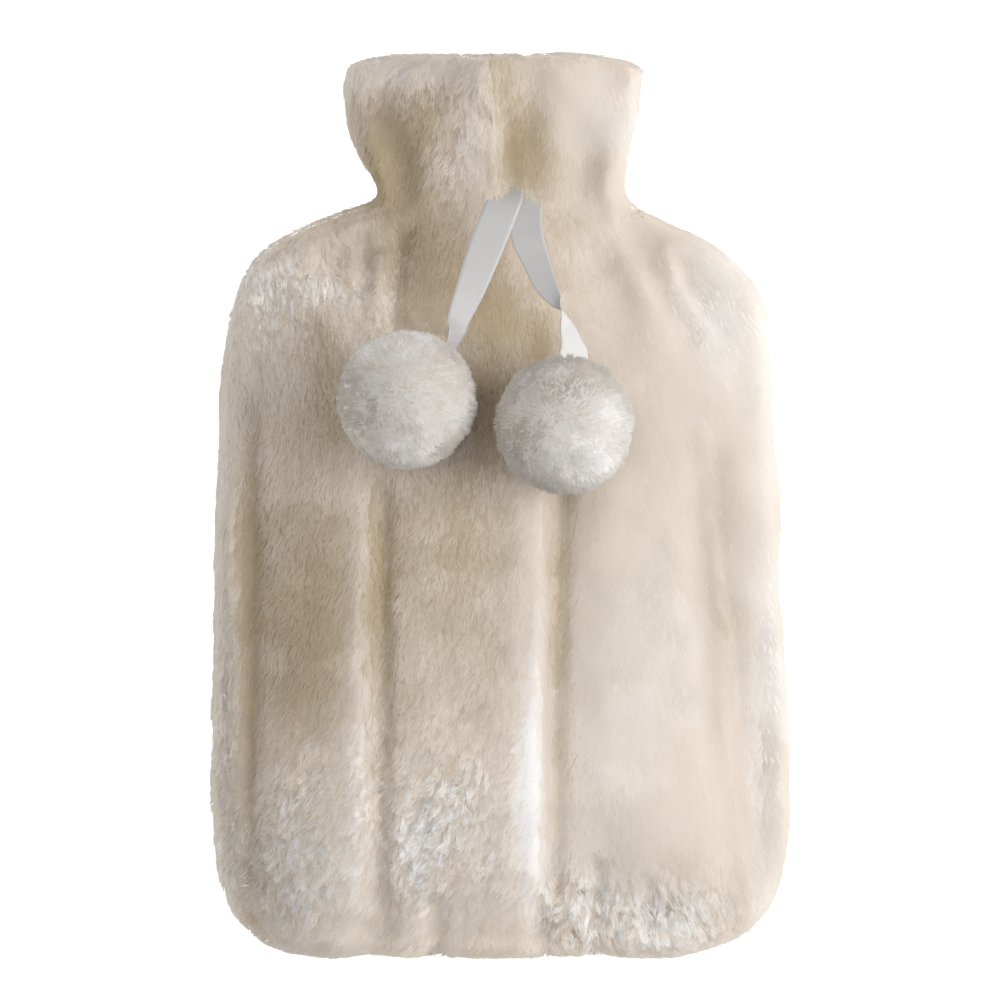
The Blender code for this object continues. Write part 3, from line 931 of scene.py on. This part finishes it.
# %% Grow the pile on a panel
TUFT_SPACING = 0.0036
TUFT_HALF = 0.0014
TUFT_SHAPE = np.array([1.0, 0.4, 1.0])  # a tuft is longer down the cover than across it
STRAND_HALF = 0.00027
WIDTHS = (0.75, 1.25)  # the narrowest and the widest strand, as shares of that
STRAND_DEPTH = 0.0016  # from the tips to the roots that show
STRAND_BEND = 0.00012
LEAN = (0.0030, 0.0058)
DRAWN = (0.3, 0.9)  # how much of the way ruffled tips go to the tip of their tuft
RISE = (-0.0014, 0.0008)  # how far under and over the skin a tip may end
UNDER_FLOOR = 0.0002
BASE_TONE = 0.36
BASE_RUFFLE = 0.20
LEAST_RUFFLE = 0.05
WILD = 1.5  # the power of the ruffle that goes into what makes tufts differ
STEEP = 0.80  # below this, a bend counts as steep: the strands on it lie flatter
RIM = 0.5  # below this it is the rim, which is shaded for a viewer above
LIE_FLAT = 2.2
WRAP = 0.7  # light that scatters through the fibres reaches round a bend
# painted light and shade on each lock: its crest painted paler, as lit, and its sides darker, as
# shaded
PAINTED_CREST_LIGHT = 0.26  # how much paler the middle of a tuft is than its sides

Tufts = namedtuple("Tufts", "places ways ruffle light lies rise")


def swung(ways, angles):
    """Level directions, swung round by those angles."""
    x, y, z = ways.T
    return np.stack(
        [x * np.cos(angles) - y * np.sin(angles), x * np.sin(angles) + y * np.cos(angles), z], axis=1
    )


def tone_and_painted_light_at(points, patches):
    """How light the patches make the plush, painted light and shade included."""
    return BASE_TONE + patched(points, patches, "light")


def ruffle_at(points, patches):
    """How ruffled they make it."""
    return np.clip(BASE_RUFFLE + patched(points, patches, "ruffle"), LEAST_RUFFLE, 1.0)


def tufts_on(skin, patches, seed, rng):
    """The tufts of a panel: the way, tone, shading and height that each one has."""
    places, _ = scatter(skin, int(face_areas(skin).sum() / TUFT_SPACING**2), rng)
    count = len(places)
    ruffle = ruffle_at(places, patches)
    swing = 26 * uneven(places, 0.016, seed) + 22 * ruffle * rng.standard_normal(count)
    light = tone_and_painted_light_at(places, patches) + 0.10 * uneven(places, 0.013, seed + 40)
    light += 0.10 * ruffle**WILD * rng.standard_normal(count)
    lies = uneven_ways(places, 0.009, seed, 20) * (0.10 + 0.22 * ruffle)[:, None]
    lies += 0.13 * ruffle[:, None] ** WILD * rng.standard_normal((count, 3))
    lies[:, 0] -= patched(places, patches, "away")
    rise = 0.0003 + 0.0007 * ruffle * rng.standard_normal(count)
    ways = swung(nap_bearing(places), np.radians(swing))
    return Tufts(places, ways, ruffle, light, lies, rise)


def grow(skin, count, patches, seed):
    """The strands of a panel, as the arrays that pile_piece takes."""
    rng = np.random.default_rng(seed)
    base, normal = scatter(skin, count, rng)
    tufts = tufts_on(skin, patches, seed, rng)
    mine = nearest(base * TUFT_SHAPE, tufts.places * TUFT_SHAPE)
    ruffle = tufts.ruffle[mine]

    across = unit(np.cross(normal, tufts.ways[mine]))
    off = np.clip(((base - tufts.places[mine]) * across).sum(axis=1) / TUFT_HALF, -1, 1)
    crest = ruffle * (0.5 - off**2)
    way = swung(tufts.ways[mine], np.radians(9 + 15 * ruffle) * rng.standard_normal(count))
    along = unit(way - normal * (way * normal).sum(axis=1)[:, None])
    tip_place = base + along * rng.uniform(*LEAN, count)[:, None]
    tuft_tip = (tufts.places + tufts.ways * np.mean(LEAN))[mine]
    draw = (ruffle * rng.uniform(*DRAWN, count))[:, None]
    tip_place, tip_normal = settle(skin, tip_place * (1 - draw) + tuft_tip * draw)
    rise = np.clip(tufts.rise[mine] - 0.0006 * rng.random(count) + 0.0006 * crest, *RISE)
    tip = tip_place + tip_normal * rise[:, None]
    root = base - normal * STRAND_DEPTH
    middle = (root + tip) / 2 + normal * STRAND_BEND

    # the tuft's tone, with the patches' painted light and shade, and the painted light on the crest
    tone = tufts.light[mine] + PAINTED_CREST_LIGHT * crest + (0.005 + 0.09 * ruffle) * rng.standard_normal(count)
    steep = np.zeros((count, 3))
    steep[:, 2] = np.clip(STEEP - np.abs(normal[:, 2]), 0, 1)
    seen_from = math.copysign(1, skin.normals[:, 2].sum())
    steep *= np.where(np.abs(normal[:, 2]) < RIM, 1, seen_from)[:, None]
    half = unit(np.cross(unit(tip - root), unit(normal + LIE_FLAT * steep)))
    half *= (STRAND_HALF * rng.uniform(*WIDTHS, count))[:, None]
    facing = normal + tufts.lies[mine] + WRAP * steep
    facing += (0.16 * ruffle**WILD)[:, None] * rng.standard_normal((count, 3))
    facing += (0.50 * ruffle**WILD * off)[:, None] * across
    for corner in (root, middle, tip):
        corner[:, 2] = np.maximum(corner[:, 2], UNDER_FLOOR)
    return root, middle, tip, half, tone, 0.75 * (1 - ruffle), unit(facing)


def tone_and_painted_shade(cloth, patches):
    """Gives the cloth the pile's tone, painted light and shade included, and its depth, which sets
    its painted root shade, for what shows of it between the strands.
    """
    points, _ = corners_of(cloth.data)
    painted = np.zeros((len(points), 3))
    painted[:, 0] = np.clip(tone_and_painted_light_at(points, patches), 0.01, 0.99)
    painted[:, 1] = 0.2 + 0.5 * (1 - ruffle_at(points, patches))
    column = cloth.data.attributes.new("tone_and_painted_shade", "FLOAT_VECTOR", "POINT")
    column.data.foreach_set("vector", painted.ravel())
    print(cloth.name, "tone from", round(painted[:, 0].min(), 2), "to", round(painted[:, 0].max(), 2))


FRONT_STRANDS = 134000
BACK_STRANDS = 44000
share = 1.0

front = grow(front_skin, int(FRONT_STRANDS * share), FRONT_PATCHES, 3)
bands = (("foot", -1.0, -0.074), ("middle", -0.074, 0.030), ("shoulders", 0.030, 1.0))
front_pile = []
for label, low, high in bands:
    mine = (front[0][:, 1] >= low) & (front[0][:, 1] < high)
    front_pile.append(pile_piece(f"pile_{label}", *(part[mine] for part in front), plush))

back = grow(back_skin, int(BACK_STRANDS * share), (), 8)
back_pile = [pile_piece("pile_back", *back, plush)]
tone_and_painted_shade(front_cloth, FRONT_PATCHES)
tone_and_painted_shade(back_cloth, ())

# %% [markdown]
# ## The ribbon
#
# The two tails of the ribbon come out of the plush at the waist, lie on it and turn over on their
# way to the pompoms. A `Turn` row says where the middle of the ribbon is, how far it lifts off the
# plush, how it is rolled and how wide it is. A grid is bent along the smooth curve through these
# rows, and a Solidify modifier gives it the thickness of satin. The modifier's second shell takes
# the ribbon's paler back, which shows where the right tail has turned over. Its paleness is a
# painted highlight that stands in for the satin's glint towards the lamp there. The ribbon casts
# no shadow: it lies so close that its shadow would only stain the strands on either side of it.

# %% Lay the two tails of the ribbon
RIBBON_CLEAR = 0.0012
RIBBON_SOLID = 0.001  # thickness of the solids' ribbon, which sets its height
SATIN_THICK = 0.0004
RIBBON_GATHERED = 0.0055
RIBBON_WIDTH = 0.012
POMPOM_RADIUS = 0.028
POMPOM_CORE = 0.016
POMPOM_SINK = 0.005
STEPS_ALONG = 90
STEPS_ACROSS = 10

Turn = namedtuple("Turn", "x y lift roll width")
LEFT_TAIL = in_metres(Turn, ("x", "y", "lift", "width"), (
    (4, 131, -19, -10.0, 11),
    (1.8, 123.2, -5, -8.0, 13.9),
    (-0.8, 115.6, -0.4, 6.0, 13.8),
    (-5.4, 104, 0.4, 8.0, 14),
    (-11.9, 86.4, 0.6, 12.0, 12),
    (-16.8, 74, 1.4, 22.0, 9.6),
    (-17.8, 68, 2.6, 44.0, 8.4),
))
RIGHT_TAIL = in_metres(Turn, ("x", "y", "lift", "width"), (
    (12.4, 132, -14, 6.0, 8),
    (10.8, 124, -4, 6.0, 11.2),
    (10, 109.2, -1.2, 8.0, 13.2),
    (13.5, 98, 0, 8.0, 11.2),
    (18, 87.2, 1, 4.0, 9),
    (21.6, 81.4, 2.4, -12.0, 5.8),
    (24, 77.6, 4, -90.0, 3.6),
    (26.2, 70.8, 4, -152.0, 6.2),
    (28, 64.5, 2.2, -154.0, 9.2),
    (28.8, 59.2, 0.4, -154.0, 12.6),
))
Ball = namedtuple("Ball", "name x y bearing tilt seed")  # x and y are in metres
LEFT_BALL = Ball("left", -0.0372, 0.0416, 49.0, -30.0, 2)
RIGHT_BALL = Ball("right", 0.0252, 0.0316, 82.0, -46.0, 5)

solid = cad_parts["front_panel"].data
solid.calc_loop_triangles()
FRONT_TREE = BVHTree.FromPolygons(
    [v.co for v in solid.vertices], [t.vertices[:] for t in solid.loop_triangles]
)


def height(x, y):
    """The height of the front's solid at a point."""
    hit = FRONT_TREE.ray_cast(Vector((x, y, 1.0)), Vector((0, 0, -1)))[0]
    return hit.z if hit else 0.0


def ball_middle(ball):
    """Where a pompom's middle lies."""
    return Vector((ball.x, ball.y, height(ball.x, ball.y) + POMPOM_RADIUS - POMPOM_SINK))


def ball_entry(ball):
    """The direction from a pompom's middle to where its ribbon comes in."""
    bearing, tilt = math.radians(ball.bearing), math.radians(ball.tilt)
    flat = math.cos(tilt)
    return Vector((flat * math.cos(bearing), flat * math.sin(bearing), math.sin(tilt)))


def through(rows, t):
    """A place on the smooth curve through a list of vectors, for t from 0 to 1."""
    at = t * (len(rows) - 1)
    k = min(int(at), len(rows) - 2)
    f = at - k
    a, b = rows[max(k - 1, 0)], rows[k]
    c, d = rows[k + 1], rows[min(k + 2, len(rows) - 1)]
    return 0.5 * (
        2 * b + (c - a) * f + (2 * a - 5 * b + 4 * c - d) * f * f
        + (3 * b - a - 3 * c + d) * f * f * f
    )


def tail_rows(turns, ball):
    """Places of the ribbon's middle, and its roll and width there."""
    places, shapes = [], []
    for k, turn in enumerate(turns):
        ahead, behind = turns[min(k + 1, len(turns) - 1)], turns[max(k - 1, 0)]
        way = Vector((ahead.x - behind.x, ahead.y - behind.y, 0)).normalized()
        level = Vector((way.y, -way.x, 0))
        roll = math.radians(turn.roll)
        lows = []
        for part in (-1, -0.5, 0, 0.5, 1):
            out = part * turn.width / 2
            spot = Vector((turn.x, turn.y, 0)) + level * out * math.cos(roll)
            lows.append(height(spot.x, spot.y) - out * math.sin(roll))
        z = max(lows) + RIBBON_CLEAR + RIBBON_SOLID / 2 + turn.lift
        places.append(Vector((turn.x, turn.y, z)))
        shapes.append(Vector((turn.roll, turn.width)))
    for distance in (POMPOM_RADIUS, POMPOM_CORE + RIBBON_SOLID):
        places.append(ball_middle(ball) + ball_entry(ball) * distance)
        shapes.append(Vector((turns[-1].roll, RIBBON_GATHERED)))
    return places, shapes


def ribbon_tail(name, turns, ball):
    """One tail of satin, and its length along the middle."""
    places, shapes = tail_rows(turns, ball)
    spots = [through(places, k / STEPS_ALONG) for k in range(STEPS_ALONG + 1)]
    run = [0.0]
    for a, b in zip(spots, spots[1:]):
        run.append(run[-1] + (b - a).length)
    bm = bmesh.new()
    bmesh.ops.create_grid(bm, x_segments=STEPS_ACROSS, y_segments=STEPS_ALONG, size=1)
    cloth = bm.loops.layers.uv.new("Cloth")
    for face in bm.faces:
        for loop in face.loops:
            step = round((loop.vert.co.y + 1) / 2 * STEPS_ALONG)
            loop[cloth].uv = (loop.vert.co.x * RIBBON_WIDTH / 2, run[step])
    for v in bm.verts:
        t = (v.co.y + 1) / 2
        roll, width = through(shapes, t)
        way = through(places, min(t + 0.01, 1)) - through(places, max(t - 0.01, 0))
        level = way.cross(Vector((0, 0, 1))).normalized()
        up = level.cross(way).normalized()
        across = level * math.cos(math.radians(roll)) + up * math.sin(math.radians(roll))
        v.co = through(places, t) + across * v.co.x * width / 2
    mesh = bpy.data.meshes.new(name)
    bm.to_mesh(mesh)
    bm.free()
    mesh.shade_smooth()
    mesh.materials.append(satin)
    mesh.materials.append(satin_back_painted_highlight)
    tail = link(name, mesh)
    wall = tail.modifiers.new("satin", "SOLIDIFY")
    wall.thickness = SATIN_THICK
    wall.offset = 0
    wall.material_offset = 1
    tail.visible_shadow = False
    print(name, "length:", round(run[-1], 4))
    return tail, run[-1]


left_tail, left_length = ribbon_tail("ribbon_left", LEFT_TAIL, LEFT_BALL)
right_tail, right_length = ribbon_tail("ribbon_right", RIGHT_TAIL, RIGHT_BALL)

# %% [markdown]
# ## The pompoms
#
# A pompom is a tied bundle of yarn, cut to a ball, whose strands fan out from its middle. Only
# the outer part of each strand shows, so a ball of felted wool fills the middle and the strands
# start inside it. Where the pompom lies on the plush its strands are pressed short. A `Lock` row
# makes the wool lighter or darker, and more or less ruffled, round a place seen from above. It is
# measured in radii from the pompom's middle. Most locks are painted light and shade: paler on the
# side towards the lamp, darker on the side away from it. The ruffled ones are paler tufts, partly
# as painted highlight.

# %% Make the pompoms
WOOL_STRANDS = 21000
FELT_RADIUS = 0.0262
WOOL_DEPTH = 0.0034
WOOL_HALF = 0.00024
WOOL_TUFTS = 700
WOOL_LIE = 0.8
WOOL_LEAN = 0.08  # how far round the ball a strand leans, in radians
WOOL_SWIRL = 0.5
WOOL_FALL = np.array([0.2, -0.1, -1.0])  # the way that the wool hangs
LEAST_TONE = 0.28
Lock = namedtuple("Lock", "x y reach light ruffle")
# painted light and shade: the right of the left pompom is painted paler, as lit, and its left darker,
# as shaded; the ruffled locks are paler tufts, partly painted highlight
LEFT_LOCKS = (
    Lock(0.05, -0.68, 0.36, 0.22, 1.0),
    Lock(-0.42, 0.72, 0.30, 0.28, 0.7),
    Lock(-0.60, -0.60, 0.25, 0.05, 0.6),
    Lock(-0.34, 0.12, 0.55, -0.26, 0.0),
    Lock(0.15, 0.80, 0.35, 0.22, 0.4),
    Lock(0.55, 0.05, 0.45, 0.12, 0.0),
    Lock(0.86, -0.22, 0.32, 0.30, 0.1),
)
# painted light and shade: the right of the right pompom is painted paler, as lit, and its left and
# top darker, as shaded; the ruffled locks are paler tufts, partly painted highlight
RIGHT_LOCKS = (
    Lock(-0.10, -0.10, 0.22, 0.26, 0.9),
    Lock(0.18, -0.55, 0.34, 0.26, 1.0),
    Lock(-0.66, 0.15, 0.18, 0.26, 0.7),
    Lock(0.45, 0.20, 0.40, 0.10, 0.1),
    Lock(-0.50, -0.20, 0.42, -0.34, 0.0),
    Lock(-0.10, 0.40, 0.45, -0.16, 0.0),
    Lock(0.75, -0.10, 0.40, 0.20, 0.2),
    Lock(0.50, -0.62, 0.35, 0.16, 0.5),
)


def locked(tufts, locks, column):
    """The locks' sum of one column at each tuft of a pompom."""
    total = np.zeros(len(tufts))
    for lock in locks:
        off = (tufts[:, 0] - lock.x) ** 2 + (tufts[:, 1] - lock.y) ** 2
        total += getattr(lock, column) * np.exp(-off / lock.reach**2) * (tufts[:, 2] > 0)
    return total


def pressed(middle, way, reach):
    """How far strands get along their directions before they meet the plush."""
    got = reach.copy()
    for k in np.flatnonzero(way[:, 2] < 0.1):
        spot = Vector(middle) + Vector(way[k]) * got[k]
        while spot.z < height(spot.x, spot.y) + 0.0005 and got[k] > POMPOM_CORE:
            got[k] -= 0.0008
            spot = Vector(middle) + Vector(way[k]) * got[k]
    return got


def wool_of(ball, locks):
    """The wool of one pompom."""
    rng = np.random.default_rng(ball.seed)
    middle = ball_middle(ball)
    origin = np.array(middle)
    count = int(WOOL_STRANDS * share)
    way = unit(rng.standard_normal((count, 3)))
    tufts = unit(rng.standard_normal((WOOL_TUFTS, 3)))
    mine = nearest(way, tufts)
    ruffle = locked(tufts, locks, "ruffle")[mine]
    light = locked(tufts, locks, "light") + 0.26 * uneven(tufts, 0.5, ball.seed + 50)
    push = WOOL_SWIRL * uneven_ways(tufts, 0.6, ball.seed, 10)
    push = push + 0.25 * rng.standard_normal((WOOL_TUFTS, 3)) + WOOL_FALL
    flow = push[mine] + 0.15 * rng.standard_normal((count, 3))
    flow = unit(flow - way * (flow * way).sum(axis=1)[:, None])
    lean = (WOOL_LEAN * (1 + 1.6 * ruffle) * rng.uniform(0.6, 1.3, count))[:, None]
    far = 1 + 0.014 * rng.standard_normal(WOOL_TUFTS)[mine] - 0.035 * rng.random(count)
    far *= POMPOM_RADIUS
    out = unit(way + lean * flow)
    tip = origin + out * pressed(middle, out, far)[:, None]
    root = origin + way * (far - WOOL_DEPTH)[:, None]
    waist = (root + tip) / 2 + way * STRAND_BEND
    flat = unit(way + np.array([0, 0, WOOL_LIE]))
    half = unit(np.cross(tip - root, flat)) * (WOOL_HALF * rng.uniform(*WIDTHS, count))[:, None]
    # the locks' painted light and shade go into the wool's tone
    tone = 0.48 + light[mine] + (0.03 + 0.20 * ruffle) * np.abs(rng.standard_normal(WOOL_TUFTS)[mine])
    tone = np.maximum(tone, LEAST_TONE) + (0.04 + 0.08 * ruffle) * rng.standard_normal(count)
    facing = way + 0.28 * uneven_ways(tufts, 0.35, ball.seed, 30)[mine]
    facing += 0.03 * rng.standard_normal((count, 3))
    facing += (0.03 + 0.12 * ruffle)[:, None] * rng.uniform(-1.5, 1.5, (WOOL_TUFTS, 3))[mine]
    hidden = np.full(count, 0.2)
    return pile_piece(f"wool_{ball.name}", root, waist, tip, half, tone, hidden, unit(facing), wool)


def felt_of(ball):
    """The felted middle of one pompom."""
    middle = ball_middle(ball)
    bm = bmesh.new()
    bmesh.ops.create_icosphere(bm, subdivisions=4, radius=FELT_RADIUS)
    directions = np.array([v.co.normalized() for v in bm.verts])
    reach = pressed(middle, directions, np.full(len(directions), FELT_RADIUS))
    for v, way_out, far in zip(bm.verts, directions, reach):
        v.co = middle + Vector(way_out) * far
    mesh = bpy.data.meshes.new(f"felt_{ball.name}")
    bm.to_mesh(mesh)
    bm.free()
    mesh.shade_smooth()
    mesh.materials.append(felt)
    return link(f"felt_{ball.name}", mesh)


left_fluff = wool_of(LEFT_BALL, LEFT_LOCKS)
left_felt = felt_of(LEFT_BALL)
right_fluff = wool_of(RIGHT_BALL, RIGHT_LOCKS)
right_felt = felt_of(RIGHT_BALL)

# %% [markdown]
# ## Hiding the solids and counting triangles
#
# Last, the solid that each piece stands for is hidden, and every piece is attached to one body:
# the cover has no joints, so all of it rides on that body. Then the triangles of each piece are
# counted.

for cloth, pile, node in (
    (front_cloth, front_pile, "front_panel"),
    (back_cloth, back_pile, "back_panel"),
):
    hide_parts(node)
    for piece in (cloth, *pile):
        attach(piece, "root")

for tail, length, node in (
    (left_tail, left_length, "ribbon_tail_left"),
    (right_tail, right_length, "ribbon_tail_right"),
):
    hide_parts(node)
    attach(tail, "root")

for core, fluff, node in (
    (left_felt, left_fluff, "pompom_left"),
    (right_felt, right_fluff, "pompom_right"),
):
    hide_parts(node)
    for piece in (core, fluff):
        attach(piece, "root")

graph = bpy.context.evaluated_depsgraph_get()
weights = {}
for piece in (
    front_cloth, back_cloth, *front_pile, *back_pile,
    left_tail, right_tail, left_felt, right_felt, left_fluff, right_fluff,
):
    evaluated = piece.evaluated_get(graph).to_mesh()
    weights[piece.name] = sum(len(face.vertices) - 2 for face in evaluated.polygons)
print("triangles:", weights)
print("triangles in all:", sum(weights.values()), "and at most in a piece:", max(weights.values()))
